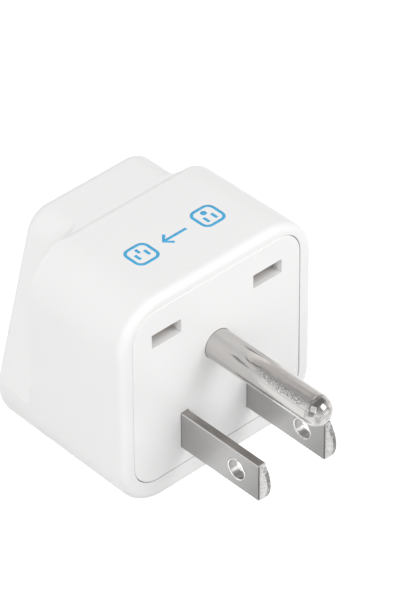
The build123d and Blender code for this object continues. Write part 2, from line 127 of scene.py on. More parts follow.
class MetalLook(bpy.types.PropertyGroup):
    """Plated pins and stamped contacts"""

    plating: FloatVectorProperty(
        name="Plating", description="Colour of the plated pins", subtype="COLOR", size=3,
        min=0, max=1, default=(0.56, 0.553, 0.545),
    )
    blade_plating: FloatVectorProperty(
        name="Blade plating", description="Colour of the duller plating of the blades", subtype="COLOR",
        size=3, min=0, max=1, default=(0.46, 0.457, 0.453),
    )
    worn: FloatVectorProperty(
        name="Worn plating", description="Colour of the warm worn band along the round pin", subtype="COLOR",
        size=3, min=0, max=1, default=(0.76, 0.72, 0.69),
    )
    brass: FloatVectorProperty(
        name="Brass", description="Colour of the contacts and rivets", subtype="COLOR", size=3,
        min=0, max=1, default=(0.66, 0.42, 0.22),
    )
    pin_roughness: FloatProperty(
        name="Pin roughness", description="Roughness of the polished round pin",
        subtype="FACTOR", min=0, max=1, default=0.16,
    )
    blade_roughness: FloatProperty(
        name="Blade roughness", description="Roughness of the brushed blades",
        subtype="FACTOR", min=0, max=1, default=0.34,
    )
    brass_roughness: FloatProperty(
        name="Brass roughness", description="Roughness of the brass where it has no tarnish",
        subtype="FACTOR", min=0, max=1, default=0.26,
    )
    pit_size: FloatProperty(
        name="Pit size", description="Size of the pits in the rough band of the round pin",
        subtype="DISTANCE", unit="LENGTH", min=0.00005, default=0.00016,
    )


class RimShape(bpy.types.PropertyGroup):
    """Raised burrs round the holes of the blades"""

    hole_reach: FloatProperty(
        name="Hole reach", description="Distance of the holes from the plug face",
        subtype="DISTANCE", unit="LENGTH", min=0, default=0.0113,
    )
    hole_radius: FloatProperty(
        name="Hole radius", description="Radius of the holes in the blades",
        subtype="DISTANCE", unit="LENGTH", min=0.0001, default=0.00158,
    )
    blade_thickness: FloatProperty(
        name="Blade thickness", description="Thickness of the blades",
        subtype="DISTANCE", unit="LENGTH", min=0.0001, default=0.00145,
    )
    burr: FloatProperty(
        name="Burr", description="Radius of the rounded burr round each hole",
        subtype="DISTANCE", unit="LENGTH", min=0.00001, default=0.00011,
    )
    wear: FloatProperty(
        name="Unevenness", description="How far the burr wanders from a true ring",
        subtype="DISTANCE", unit="LENGTH", min=0, default=0.00012,
    )
    seed: IntProperty(name="Seed", description="Seed of the burr's unevenness", min=0, default=4)


class MarkShape(bpy.types.PropertyGroup):
    """Printed pin patterns on the top face"""

    ink: FloatVectorProperty(
        name="Ink", description="Colour of the printed mark", subtype="COLOR", size=3,
        min=0, max=1, default=(0.05, 0.42, 0.74),
    )
    stroke: FloatProperty(
        name="Stroke", description="Width of the printed lines",
        subtype="DISTANCE", unit="LENGTH", min=0.0001, default=0.00048,
    )
    film: FloatProperty(
        name="Film", description="Thickness of the ink over the plastic",
        subtype="DISTANCE", unit="LENGTH", min=0.000001, default=0.000015,
    )
    length: FloatProperty(
        name="Length", description="Length of the whole row of marks",
        subtype="DISTANCE", unit="LENGTH", min=0.001, default=0.0168,
    )
    height: FloatProperty(
        name="Height", description="Height of one mark",
        subtype="DISTANCE", unit="LENGTH", min=0.001, default=0.0043,
    )
    reach: FloatProperty(
        name="Reach", description="Distance of the row's middle from the plug face",
        subtype="DISTANCE", unit="LENGTH", min=0, default=0.0086,
    )


class StudioSetting(bpy.types.PropertyGroup):
    """Floor, light and camera"""

    azimuth: FloatProperty(
        name="Azimuth", description="Camera's turn from the plug side",
        subtype="ANGLE", unit="ROTATION", default=math.radians(-42.864),
    )
    elevation: FloatProperty(
        name="Elevation", description="Camera's height over the blades, as an angle",
        subtype="ANGLE", unit="ROTATION", default=math.radians(39.002),
    )
    roll: FloatProperty(
        name="Roll", description="Camera's turn about its own axis",
        subtype="ANGLE", unit="ROTATION", default=math.radians(-0.379),
    )
    distance: FloatProperty(
        name="Distance", description="Camera's distance from the plug face",
        subtype="DISTANCE", unit="LENGTH", min=0.01, default=0.6361,
    )
    shift_right: FloatProperty(
        name="Right", description="Camera's step to its own right",
        subtype="DISTANCE", unit="LENGTH", default=-0.002451,
    )
    shift_up: FloatProperty(
        name="Up", description="Camera's step along its own upright axis",
        subtype="DISTANCE", unit="LENGTH", default=0.015206,
    )
    focal_pixels: FloatProperty(
        name="Focal length", description="Focal length in pixels of the photograph",
        min=1, default=4506,
    )
    floor: FloatVectorProperty(
        name="Floor", description="Colour of the floor", subtype="COLOR", size=3,
        min=0, max=1, default=(0.6, 0.6, 0.6),
    )
    floor_glow: FloatProperty(
        name="Floor glow", description="Level of the glow that lifts the seen floor to white",
        min=0, default=0.7,
    )
    horizon: FloatProperty(
        name="Horizon", description="Level of the light from all round at the horizon",
        min=0, default=1.0,
    )
    zenith: FloatProperty(
        name="Zenith", description="Level of the light from straight above",
        min=0, default=0.54,
    )


def add_node(tree, kind, inputs=None, **settings):
    """Adds a node, sets its properties, and sets or links its inputs."""
    node = tree.nodes.new(kind)
    for key, value in settings.items():
        setattr(node, key, value)
    for key, value in (inputs or {}).items():
        if isinstance(value, bpy.types.NodeSocket):
            tree.links.new(value, node.inputs[key])
        else:
            node.inputs[key].default_value = value
    return node


def new_group(name, kind, inputs, outputs):
    """Starts a node group from its named sockets, and gives it with its two end nodes."""
    tree = bpy.data.node_groups.new(name, kind)
    for socket_name, socket_type, value in inputs:
        socket = tree.interface.new_socket(socket_name, in_out="INPUT", socket_type=socket_type)
        if value is not None:
            socket.default_value = value
    for socket_name, socket_type in outputs:
        tree.interface.new_socket(socket_name, in_out="OUTPUT", socket_type=socket_type)
    return tree, tree.nodes.new("NodeGroupInput"), tree.nodes.new("NodeGroupOutput")


def grain_group():
    """Noise drawn out along one direction: brushed lines, ripples or streaks in one mask."""
    tree, given, result = new_group(
        "drawn_grain",
        "ShaderNodeTree",
        [
            ("Vector", "NodeSocketVector", None),
            ("Stretch", "NodeSocketVector", (1, 1, 1)),
            ("Detail", "NodeSocketFloat", 2.0),
            ("Low", "NodeSocketFloat", 0.0),
            ("High", "NodeSocketFloat", 1.0),
        ],
        [("Mask", "NodeSocketFloat")],
    )
    place = add_node(tree, "ShaderNodeVectorMath",
                     {0: given.outputs["Vector"], 1: given.outputs["Stretch"]}, operation="MULTIPLY")
    noise = add_node(tree, "ShaderNodeTexNoise",
                     {"Vector": place.outputs[0], "Scale": 1.0, "Detail": given.outputs["Detail"]})
    spread = add_node(tree, "ShaderNodeMapRange", {
        "Value": noise.outputs["Fac"], "From Min": 0.3, "From Max": 0.7,
        "To Min": given.outputs["Low"], "To Max": given.outputs["High"],
    })
    tree.links.new(spread.outputs["Result"], result.inputs["Mask"])
    return tree


def band_group():
    """Mask that is 1 between two values along an axis, with soft ends."""
    tree, given, result = new_group(
        "soft_band",
        "ShaderNodeTree",
        [
            ("Value", "NodeSocketFloat", 0.0),
            ("Start", "NodeSocketFloat", 0.0),
            ("End", "NodeSocketFloat", 1.0),
            ("Softness", "NodeSocketFloat", 0.1),
        ],
        [("Mask", "NodeSocketFloat")],
    )
    value = given.outputs["Value"]
    softness = given.outputs["Softness"]
    after = add_node(tree, "ShaderNodeMath", {0: value, 1: given.outputs["Start"]}, operation="SUBTRACT")
    before = add_node(tree, "ShaderNodeMath", {0: given.outputs["End"], 1: value}, operation="SUBTRACT")
    rise = add_node(tree, "ShaderNodeMath", {0: after.outputs[0], 1: softness},
                    operation="DIVIDE", use_clamp=True)
    fall = add_node(tree, "ShaderNodeMath", {0: before.outputs[0], 1: softness},
                    operation="DIVIDE", use_clamp=True)
    both = add_node(tree, "ShaderNodeMath", {0: rise.outputs[0], 1: fall.outputs[0]}, operation="MULTIPLY")
    tree.links.new(both.outputs[0], result.inputs["Mask"])
    return tree


def shared_group(name, make):
    """The shared node group of that name, made on its first use."""
    return bpy.data.node_groups.get(name) or make()


def add_grain(tree, vector, stretch, low=0.0, high=1.0, detail=2.0):
    """Places the drawn grain in a material and gives its mask. The stretch counts features in a metre."""
    node = add_node(tree, "ShaderNodeGroup", node_tree=shared_group("drawn_grain", grain_group))
    tree.links.new(vector, node.inputs["Vector"])
    node.inputs["Stretch"].default_value = stretch
    node.inputs["Detail"].default_value = detail
    node.inputs["Low"].default_value = low
    node.inputs["High"].default_value = high
    return node.outputs["Mask"]


def add_band(tree, value, start, end, softness):
    """Places the soft band in a material and gives its mask."""
    node = add_node(tree, "ShaderNodeGroup", node_tree=shared_group("soft_band", band_group))
    tree.links.new(value, node.inputs["Value"])
    node.inputs["Start"].default_value = start
    node.inputs["End"].default_value = end
    node.inputs["Softness"].default_value = softness
    return node.outputs["Mask"]


def new_material(name):
    """A material with its node tree, its shader and Object coordinates."""
    material = bpy.data.materials.new(name)
    material.use_nodes = True
    tree = material.node_tree
    coordinates = add_node(tree, "ShaderNodeTexCoord").outputs["Object"]
    return material, tree, tree.nodes["Principled BSDF"], coordinates


def dress(node_name, material):
    """Gives a CAD node its material."""
    slots = NODES[node_name].data.materials
    slots.clear()
    slots.append(material)


def shaded(colour, factor):
    """A colour made lighter or darker, as four values."""
    return (*(min(1.0, channel * factor) for channel in colour), 1.0)


def mix_colours(tree, mask, first, second):
    """Mixes two colours, or a colour socket and a colour, by a mask."""
    node = add_node(tree, "ShaderNodeMix", data_type="RGBA")
    tree.links.new(mask, node.inputs["Factor"])
    for key, value in ((FIRST_COLOUR, first), (SECOND_COLOUR, second)):
        if isinstance(value, bpy.types.NodeSocket):
            tree.links.new(value, node.inputs[key])
        else:
            node.inputs[key].default_value = value
    return node.outputs[MIXED_COLOUR]


def sum_node(tree, operation, *values):
    """Result of one sum on masks or numbers."""
    return add_node(tree, "ShaderNodeMath", dict(enumerate(values)), operation=operation).outputs[0]


def times(tree, first, second):
    """Product of two masks or numbers."""
    return sum_node(tree, "MULTIPLY", first, second)


def plus(tree, first, second):
    """Total of two masks or numbers."""
    return sum_node(tree, "ADD", first, second)


def greater(tree, first, second):
    """The greater of two masks."""
    return sum_node(tree, "MAXIMUM", first, second)


def scaled(tree, mask, factor, base):
    """A mask times a factor, on top of a base."""
    return sum_node(tree, "MULTIPLY_ADD", mask, factor, base)


def ramp(tree, value, start, end):
    """Mask that grows from 0 at the start to 1 at the end."""
    node = add_node(tree, "ShaderNodeMapRange", {"Value": value, "From Min": start, "From Max": end})
    return node.outputs["Result"]


def roughen(tree, shader, height, strength, distance):
    """Gives a shader the bump of a height mask."""
    bump = add_node(tree, "ShaderNodeBump", {"Height": height, "Strength": strength, "Distance": distance})
    tree.links.new(bump.outputs["Normal"], shader.inputs["Normal"])


def finish_metal(tree, shader, colour, roughness):
    """Links the colour and the roughness of a metal, and makes it metallic."""
    tree.links.new(colour, shader.inputs["Base Color"])
    shader.inputs["Metallic"].default_value = 1.0
    tree.links.new(roughness, shader.inputs["Roughness"])


def window_mask(tree, place, shade):
    """Mask that grows with the depth inside the two windows of the plate."""
    parts = add_node(tree, "ShaderNodeSeparateXYZ", {0: place})
    side = sum_node(tree, "ABSOLUTE", parts.outputs["X"])
    middle_x = shade.spacing / 2
    middle_z = PLATE_HIGH.z - shade.drop
    edge = WINDOW_EDGE
    reach_x = shade.width / 2 + edge
    reach_z = shade.height / 2 + edge
    across = add_band(tree, side, middle_x - reach_x, middle_x + reach_x, edge)
    upright = add_band(tree, parts.outputs["Z"], middle_z - reach_z, middle_z + reach_z, edge)
    start = 0.3 * shade.depth
    end = 2.5 * shade.depth
    deep = add_band(tree, parts.outputs["Y"], PLUG_FACE_Y + start, PLUG_FACE_Y + end, shade.depth - start)
    return times(tree, times(tree, across, upright), deep)


def white_plastic(look, shade):
    """Satin white plastic with a faint ripple, slight change of gloss and shaded windows."""
    material, tree, shader, place = new_material("white_plastic")
    coarse = 1 / (8 * look.grain)
    fine = 1 / look.grain
    patches = add_grain(tree, place, (coarse, coarse, coarse))
    ripple = add_grain(tree, place, (fine, fine, fine))
    plain = mix_colours(tree, patches, shaded(look.colour, 0.985), shaded(look.colour, 1.0))
    colour = mix_colours(tree, window_mask(tree, place, shade), plain, shaded(shade.colour, 1.0))
    tree.links.new(colour, shader.inputs["Base Color"])
    gloss_change = 0.06
    gloss = scaled(tree, ripple, gloss_change, look.roughness - gloss_change / 2)
    tree.links.new(gloss, shader.inputs["Roughness"])
    roughen(tree, shader, ripple, strength=0.05, distance=0.02 * MM)
    return material


def pin_patch(tree, angle, along, low, high, softness, start, end, fade):
    """Mask of a patch of the round pin, from degrees round it and millimetres out from the plug face."""
    turn = add_band(tree, angle, math.radians(low), math.radians(high), math.radians(softness))
    reach = add_band(tree, along, PLUG_FACE_Y - end * MM, PLUG_FACE_Y - start * MM, fade * MM)
    return times(tree, turn, reach)


def streaks_and_painted_reflection(tree, angle, along, streaks):
    """Mask of the dark marks along the round pin: the upper two are streaks that drawing has left, the third,
    on the pin's side, is a painted dark reflection.
    """
    upper = pin_patch(tree, angle, along, low=124, high=133, softness=4, start=5.2, end=10.5, fade=2.2)
    middle = pin_patch(tree, angle, along, low=68, high=76, softness=3, start=6.4, end=10.2, fade=0.8)
    # This mark is a painted dark reflection along the pin's side.
    lower_painted_reflection = pin_patch(tree, angle, along, low=-8, high=4, softness=5, start=10.5, end=17.0, fade=1.8)
    marks = greater(tree, greater(tree, upper, middle), lower_painted_reflection)
    return times(tree, marks, scaled(tree, streaks, 0.5, 0.5))


def plated_round_pin(look):
    """Drawn plating with a warm worn band, a rough pitted band, dark streaks from drawing, a painted dark
    reflection along its side and a polished dome with curved bands of painted dark reflection.
    """
    material, tree, shader, place = new_material("plated_round_pin")
    centred = add_node(tree, "ShaderNodeMapping", {"Vector": place, "Location": (0, 0, -PIN_AXIS_HEIGHT)})
    parts = add_node(tree, "ShaderNodeSeparateXYZ", {0: centred.outputs[0]})
    along = parts.outputs["Y"]
    streaks = add_grain(tree, place, (1500, 60, 1500), detail=3.0)
    blotches = add_grain(tree, place, (600, 260, 600), detail=3.0)
    pit = 1 / look.pit_size
    pits = add_grain(tree, place, (pit, pit / 1.6, pit), detail=1.0)
    left = times(tree, parts.outputs["X"], -1.0)
    turn = sum_node(tree, "ARCTAN2", parts.outputs["Z"], left)
    angle = scaled(tree, blotches, math.radians(16), turn)

    worn = pin_patch(tree, angle, along, low=72, high=112, softness=7, start=6.2, end=19.9, fade=1.6)
    pitted = pin_patch(tree, angle, along, low=36, high=66, softness=10, start=9.0, end=19.8, fade=2.0)
    pitted = times(tree, pitted, plus(tree, blotches, 0.6))
    marks = streaks_and_painted_reflection(tree, angle, along, streaks)
    # Painted dark reflection in curved bands on the upper side of the dome.
    dome_reflection_arcs = pin_patch(tree, angle, along, low=14, high=118, softness=9, start=20.15, end=21.1, fade=0.2)
    dark = greater(tree, marks, times(tree, dome_reflection_arcs, 0.85))
    dome = add_band(tree, along, PIN_LOW.y - MM, PIN_LOW.y + DOME_LENGTH, 0.2 * MM)
    spots = add_grain(tree, place, (1300, 1300, 1300), low=-0.6, high=1.2)
    spots = times(tree, dome, add_node(tree, "ShaderNodeClamp", {0: spots}).outputs[0])

    plain = mix_colours(tree, streaks, shaded(look.plating, 0.93), shaded(look.plating, 1.07))
    plain = mix_colours(tree, times(tree, blotches, 0.4), plain, shaded(look.worn, 0.8))
    brown = mix_colours(tree, streaks, shaded(look.worn, 0.9), shaded(look.worn, 1.08))
    colour = mix_colours(tree, worn, plain, brown)
    speckled = mix_colours(tree, pits, shaded(look.plating, 0.3), shaded(look.plating, 1.4))
    colour = mix_colours(tree, pitted, colour, speckled)
    colour = mix_colours(tree, dark, colour, shaded(look.plating, 0.3))
    colour = mix_colours(tree, times(tree, spots, 0.8), colour, shaded(look.plating, 0.5))

    streak_change = 0.08
    smooth = scaled(tree, streaks, streak_change, look.pin_roughness - streak_change / 2)
    dull = scaled(tree, pitted, 0.14, smooth)
    polished = times(tree, dull, scaled(tree, dome, -0.5, 1.0))
    finish_metal(tree, shader, colour, polished)
    relief = plus(tree, times(tree, pitted, pits), times(tree, streaks, 0.06))
    roughen(tree, shader, relief, strength=0.7, distance=0.07 * MM)
    return material


def brushed_blade(look):
    """Plating brushed along the blade, with a stained top, a painted highlight on the bevelled top edge,
    painted darker reflection towards the tip, painted shade on the tip's end face and a rough coined tip.
    """
    material, tree, shader, place = new_material("brushed_blade")
    parts = add_node(tree, "ShaderNodeSeparateXYZ", {0: place})
    along = parts.outputs["Y"]
    height = parts.outputs["Z"]
    brushed = add_grain(tree, place, (5000, 160, 5000), detail=3.0)
    blotches = add_grain(tree, place, (260, 160, 260))
    coined = add_grain(tree, place, (1600, 5200, 2600))
    tip = add_band(tree, along, BLADE_LOW.y - MM, BLADE_LOW.y + TIP_LENGTH, 0.12 * MM)
    # Painted reflection: the side of the blade is painted darker from a slanted line out to the tip.
    slanted = scaled(tree, height, 0.6, along)
    outer_painted_reflection = ramp(tree, slanted, PLUG_FACE_Y - 3.0 * MM, BLADE_LOW.y + 7.0 * MM)
    face_edge = BLADE_HIGH.z - 0.16 * MM
    top_edge = BLADE_HIGH.z - 0.03 * MM
    edge_softness = 0.02 * MM
    # Painted highlight along the bevelled top edge of the blade's side.
    bevel_highlight = add_band(tree, height, face_edge, top_edge, edge_softness)
    top = add_band(tree, height, top_edge, BLADE_HIGH.z + MM, edge_softness)
    # Painted shade: the tip's end face, picked by the way it faces, is painted darker, over its real coined
    # grain.
    geometry = add_node(tree, "ShaderNodeNewGeometry")
    facing = add_node(tree, "ShaderNodeSeparateXYZ", {0: geometry.outputs["Normal"]})
    outward = add_band(tree, facing.outputs["Y"], -2.0, -0.35, 0.15)
    end_face = times(tree, outward, tip)

    plain = mix_colours(tree, brushed, shaded(look.blade_plating, 0.93), shaded(look.blade_plating, 1.04))
    plain = mix_colours(tree, times(tree, blotches, 0.4), plain, shaded(look.blade_plating, 0.88))
    plain = mix_colours(tree, outer_painted_reflection, plain, shaded(look.blade_plating, 0.62))
    plain = mix_colours(tree, bevel_highlight, plain, shaded(look.blade_plating, 1.5))
    stained = mix_colours(tree, blotches, shaded(look.worn, 0.32), shaded(look.worn, 0.55))
    plain = mix_colours(tree, top, plain, stained)
    struck = mix_colours(tree, coined, shaded(look.blade_plating, 0.95), shaded(look.blade_plating, 1.5))
    colour = mix_colours(tree, tip, plain, struck)
    painted_end_shade = mix_colours(tree, coined, shaded(look.blade_plating, 0.25), shaded(look.blade_plating, 0.9))
    colour = mix_colours(tree, end_face, colour, painted_end_shade)

    gloss_change = 0.1
    gloss = scaled(tree, brushed, gloss_change, look.blade_roughness - gloss_change / 2)
    finish_metal(tree, shader, colour, gloss)
    relief = plus(tree, times(tree, tip, coined), times(tree, brushed, 0.12))
    roughen(tree, shader, relief, strength=0.5, distance=0.05 * MM)
    return material


def burr_highlight_metal(look):
    """Pressed metal of the hole rims, painted brighter than the plating as a highlight."""
    material, tree, shader, place = new_material("burr_highlight_metal")
    bright = add_grain(tree, place, (3000, 3000, 3000))
    # Painted highlight: the rims are coloured brighter than the plating.
    colour = mix_colours(tree, bright, shaded(look.plating, 1.15), shaded(look.plating, 1.6))
    finish_metal(tree, shader, colour, scaled(tree, bright, 0.12, look.pin_roughness))
    return material


def stamped_brass(look):
    """Stamped and bent brass sheet with a slight tarnish."""
    material, tree, shader, place = new_material("stamped_brass")
    rolled = add_grain(tree, place, (3500, 300, 3500), detail=3.0)
    tarnish = add_grain(tree, place, (300, 300, 300), detail=3.0)
    plain = mix_colours(tree, rolled, shaded(look.brass, 0.92), shaded(look.brass, 1.08))
    colour = mix_colours(tree, times(tree, tarnish, 0.6), plain, shaded(look.brass, 0.62))
    finish_metal(tree, shader, colour, scaled(tree, tarnish, 0.2, look.brass_roughness))
    return material


def printed_ink(shape):
    """Blue ink with a slight change of density."""
    material, tree, shader, place = new_material("printed_ink")
    density = add_grain(tree, place, (1200, 1200, 1200))
    colour = mix_colours(tree, density, shaded(shape.ink, 0.93), shaded(shape.ink, 1.05))
    tree.links.new(colour, shader.inputs["Base Color"])
    shader.inputs["Roughness"].default_value = 0.42
    return material


def ribbon_tree(material):
    """Geometry Nodes tree that turns flat curves into printed strokes."""
    tree, given, result = new_group(
        "printed_strokes",
        "GeometryNodeTree",
        [
            ("Curves", "NodeSocketGeometry", None),
            ("Stroke", "NodeSocketFloat", 0.0005),
            ("Film", "NodeSocketFloat", 0.00002),
        ],
        [("Geometry", "NodeSocketGeometry")],
    )
    normal = add_node(tree, "GeometryNodeSetCurveNormal", {"Curve": given.outputs["Curves"]}, mode="Z_UP")
    profile = add_node(tree, "GeometryNodeCurvePrimitiveQuadrilateral", {
        "Width": given.outputs["Stroke"], "Height": given.outputs["Film"],
    })
    strokes = add_node(tree, "GeometryNodeCurveToMesh", {
        "Curve": normal.outputs[0], "Profile Curve": profile.outputs[0], "Fill Caps": True,
    })
    plain = add_node(tree, "GeometryNodeRealizeInstances", {"Geometry": strokes.outputs[0]})
    inked = add_node(tree, "GeometryNodeSetMaterial", {"Geometry": plain.outputs[0], "Material": material})
    tree.links.new(inked.outputs[0], result.inputs["Geometry"])
    return tree


def burr_tree(material):
    """Geometry Nodes tree that sets an uneven ring on each given point, with its axis across the body."""
    tree, given, result = new_group(
        "hole_burrs",
        "GeometryNodeTree",
        [
            ("Points", "NodeSocketGeometry", None),
            ("Ring Radius", "NodeSocketFloat", 0.0016),
            ("Burr Radius", "NodeSocketFloat", 0.0001),
            ("Unevenness", "NodeSocketFloat", 0.00005),
            ("Seed", "NodeSocketInt", 0),
        ],
        [("Geometry", "NodeSocketGeometry")],
    )
    ring = add_node(tree, "GeometryNodeCurvePrimitiveCircle", {
        "Resolution": 72, "Radius": given.outputs["Ring Radius"],
    })
    wire = add_node(tree, "GeometryNodeCurvePrimitiveCircle", {
        "Resolution": 10, "Radius": given.outputs["Burr Radius"],
    })
    waver = add_node(tree, "ShaderNodeTexNoise", {
        "Scale": 520.0, "W": given.outputs["Seed"], "Detail": 0.0,
    }, noise_dimensions="4D")
    swell = add_node(tree, "ShaderNodeMapRange", {
        "Value": waver.outputs["Fac"], "From Min": 0.3, "From Max": 0.7, "To Min": 0.35, "To Max": 1.7,
    })
    tube = add_node(tree, "GeometryNodeCurveToMesh", {
        "Curve": ring.outputs[0], "Profile Curve": wire.outputs[0], "Scale": swell.outputs["Result"],
    })
    placed = add_node(tree, "GeometryNodeInstanceOnPoints", {
        "Points": given.outputs["Points"], "Instance": tube.outputs[0], "Rotation": (0, math.pi / 2, 0),
    })
    plain = add_node(tree, "GeometryNodeRealizeInstances", {"Geometry": placed.outputs[0]})
    noise = add_node(tree, "ShaderNodeTexNoise", {
        "Scale": 1000.0, "W": given.outputs["Seed"], "Detail": 1.0,
    }, noise_dimensions="4D")
    middle = add_node(tree, "ShaderNodeVectorMath", {
        0: noise.outputs["Color"], 1: (0.5, 0.5, 0.5),
    }, operation="SUBTRACT")
    step = add_node(tree, "ShaderNodeVectorMath", {
        0: middle.outputs[0], "Scale": given.outputs["Unevenness"],
    }, operation="SCALE")
    moved = add_node(tree, "GeometryNodeSetPosition", {
        "Geometry": plain.outputs[0], "Offset": step.outputs[0],
    })
    smooth = add_node(tree, "GeometryNodeSetShadeSmooth", {"Geometry": moved.outputs[0]})
    dressed = add_node(tree, "GeometryNodeSetMaterial", {"Geometry": smooth.outputs[0], "Material": material})
    tree.links.new(dressed.outputs[0], result.inputs["Geometry"])
    return tree


def grow(source, tree, values, name):
    """Runs a Geometry Nodes tree on an object with named inputs, and keeps the result as a plain mesh."""
    modifier = source.modifiers.new(name, "NODES")
    modifier.node_group = tree
    for item in tree.interface.items_tree:
        if item.in_out == "INPUT" and item.name in values:
            modifier[item.identifier] = values[item.name]
    bpy.context.view_layer.update()
    evaluated = source.evaluated_get(bpy.context.evaluated_depsgraph_get())
    mesh = bpy.data.meshes.new_from_object(evaluated)
    source.modifiers.remove(modifier)
    bpy.data.objects.remove(source)
    if not mesh.polygons:
        raise RuntimeError(f"{name} came out empty")
    piece = bpy.data.objects.new(name, mesh)
    mesh.name = name
    bpy.context.scene.collection.objects.link(piece)
    return piece


def loop_of(points, closed):
    """A stroke's path: its points, and whether it closes."""
    return [Vector(point) for point in points], closed


def rounded_frame(centre, width, height, radius, turns=8):
    """Path of a rectangle with round corners in the sketch plane of the mark."""
    points = []
    for quarter, (side, top) in enumerate(((1, 1), (-1, 1), (-1, -1), (1, -1))):
        middle = (centre[0] + side * (width / 2 - radius), centre[1] + top * (height / 2 - radius))
        for step in range(turns + 1):
            angle = math.pi / 2 * (quarter + step / turns)
            points.append((middle[0] + radius * math.cos(angle), middle[1] + radius * math.sin(angle), 0))
    return loop_of(points, True)


def straight(start, end):
    """Path of a straight stroke."""
    return loop_of([(*start, 0), (*end, 0)], False)


def dot(centre, radius, turns=24):
    """Path of a small ring whose stroke fills its middle."""
    points = [
        (centre[0] + radius * math.cos(2 * math.pi * step / turns),
         centre[1] + radius * math.sin(2 * math.pi * step / turns), 0)
        for step in range(turns)
    ]
    return loop_of(points, True)


def mark_paths(shape):
    """Two framed pin patterns with an arrow between them, round the row's middle."""
    size = shape.height
    stroke = shape.stroke
    first = (shape.length - size) / 2
    corner = size * 0.24
    bar = size * 0.14
    right_step = size * 0.17
    left_step = size * 0.2
    paths = []
    for centre in (-first, first):
        paths.append(rounded_frame((centre, 0), size - stroke, size - stroke, corner))
    for side in (-1, 1):
        right = first + side * right_step
        left = -first + side * left_step
        paths.append(straight((right, -bar * 1.9), (right, 0.1 * bar)))
        paths.append(straight((left, -bar * 1.3), (left, bar * 0.7)))
    paths.append(dot((first, size * 0.2), stroke / 2))
    paths.append(straight((-first, bar * 0.6), (-first, bar * 2.2)))
    tail = first - size * 0.95
    head = size * 0.26
    under = -shape.film / 2
    paths.append(loop_of([(tail, 0, under), (-tail, 0, under)], False))
    paths.append(loop_of([(head - tail, head, 0), (-tail, 0, 0), (head - tail, -head, 0)], False))
    return paths


def curve_object(paths, centre):
    """Curve object with one spline for each path, moved to its place."""
    curve = bpy.data.curves.new("mark_lines", "CURVE")
    curve.dimensions = "3D"
    for points, closed in paths:
        spline = curve.splines.new("POLY")
        spline.points.add(len(points) - 1)
        for item, point in zip(spline.points, points):
            item.co = (*(point + centre), 1)
        spline.use_cyclic_u = closed
    lines = bpy.data.objects.new("mark_lines", curve)
    bpy.context.scene.collection.objects.link(lines)
    return lines


def point_object(points):
    """Mesh object of loose points, for a tree to build on."""
    mesh = bpy.data.meshes.new("rim_points")
    mesh.from_pydata(points, [], [])
    holder = bpy.data.objects.new("rim_points", mesh)
    bpy.context.scene.collection.objects.link(holder)
    return holder


class ADAPTER_OT_plastic(bpy.types.Operator):
    """Give the housing and the plug plate their white plastic"""

    bl_idname = "adapter.plastic"
    bl_label = "Housing and Plate Plastic"

    def execute(self, context):
        material = white_plastic(context.scene.adapter_plastic, context.scene.adapter_windows)
        for name in ("socket_housing", "plug_plate"):
            dress(name, material)
        return {"FINISHED"}


class ADAPTER_OT_pins(bpy.types.Operator):
    """Give the round pin and the blades their plating"""

    bl_idname = "adapter.pins"
    bl_label = "Pin Plating"

    def execute(self, context):
        look = context.scene.adapter_metal
        dress("earth_pin", plated_round_pin(look))
        blade = brushed_blade(look)
        for name in ("line_blade", "neutral_blade"):
            dress(name, blade)
        return {"FINISHED"}


class ADAPTER_OT_contacts(bpy.types.Operator):
    """Give the contacts and their rivets their brass"""

    bl_idname = "adapter.contacts"
    bl_label = "Contact Brass"

    def execute(self, context):
        brass = stamped_brass(context.scene.adapter_metal)
        for name in ("line_contact", "neutral_contact", "earth_contact", "contact_rivets"):
            dress(name, brass)
        return {"FINISHED"}


class ADAPTER_OT_hole_rims(bpy.types.Operator):
    """Raise a burr round each end of the two holes in the blades"""

    bl_idname = "adapter.hole_rims"
    bl_label = "Hole Rims"

    def execute(self, context):
        shape = context.scene.adapter_rims
        inner = BLADE_LOW.x
        outer = inner + shape.blade_thickness
        hole_y = PLUG_FACE_Y - shape.hole_reach
        points = [(side * x, hole_y, BLADE_LINE_HEIGHT) for side in (-1, 1) for x in (inner, outer)]
        rims = grow(
            point_object(points),
            burr_tree(burr_highlight_metal(context.scene.adapter_metal)),
            {
                "Ring Radius": shape.hole_radius + shape.burr / 2,
                "Burr Radius": shape.burr,
                "Unevenness": shape.wear,
                "Seed": shape.seed,
            },
            "hole_rims",
        )
        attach(rims, BODY)
        return {"FINISHED"}


class ADAPTER_OT_printed_mark(bpy.types.Operator):
    """Print the row of pin patterns on the top face"""

    bl_idname = "adapter.printed_mark"
    bl_label = "Printed Mark"

    def execute(self, context):
        shape = context.scene.adapter_mark
        centre = Vector((0, PLUG_FACE_Y + shape.reach, HOUSING_HIGH.z))
        mark = grow(
            curve_object(mark_paths(shape), centre),
            ribbon_tree(printed_ink(shape)),
            {"Stroke": shape.stroke, "Film": 2 * shape.film},
            "printed_mark",
        )
        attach(mark, BODY)
        return {"FINISHED"}


def soft_lamp(name, direction, size, power, aim):
    """Square soft box that shines at a point from a direction."""
    data = bpy.data.lights.new(name, "AREA")
    data.shape = "SQUARE"
    data.size = size
    data.energy = power
    lamp = bpy.data.objects.new(name, data)
    bpy.context.scene.collection.objects.link(lamp)
    away = Vector(direction).normalized()
    turn = away.to_track_quat("Z", "Y").to_matrix().to_4x4()
    lamp.matrix_world = Matrix.Translation(aim + away * LAMP_DISTANCE) @ turn
    return lamp


def seen_ray(tree):
    """Mask of the camera, glossy and transmission rays, the only ones that meet the floor's glow."""
    path = add_node(tree, "ShaderNodeLightPath")
    camera_or_gloss = greater(tree, path.outputs["Is Camera Ray"], path.outputs["Is Glossy Ray"])
    return greater(tree, camera_or_gloss, path.outputs["Is Transmission Ray"])


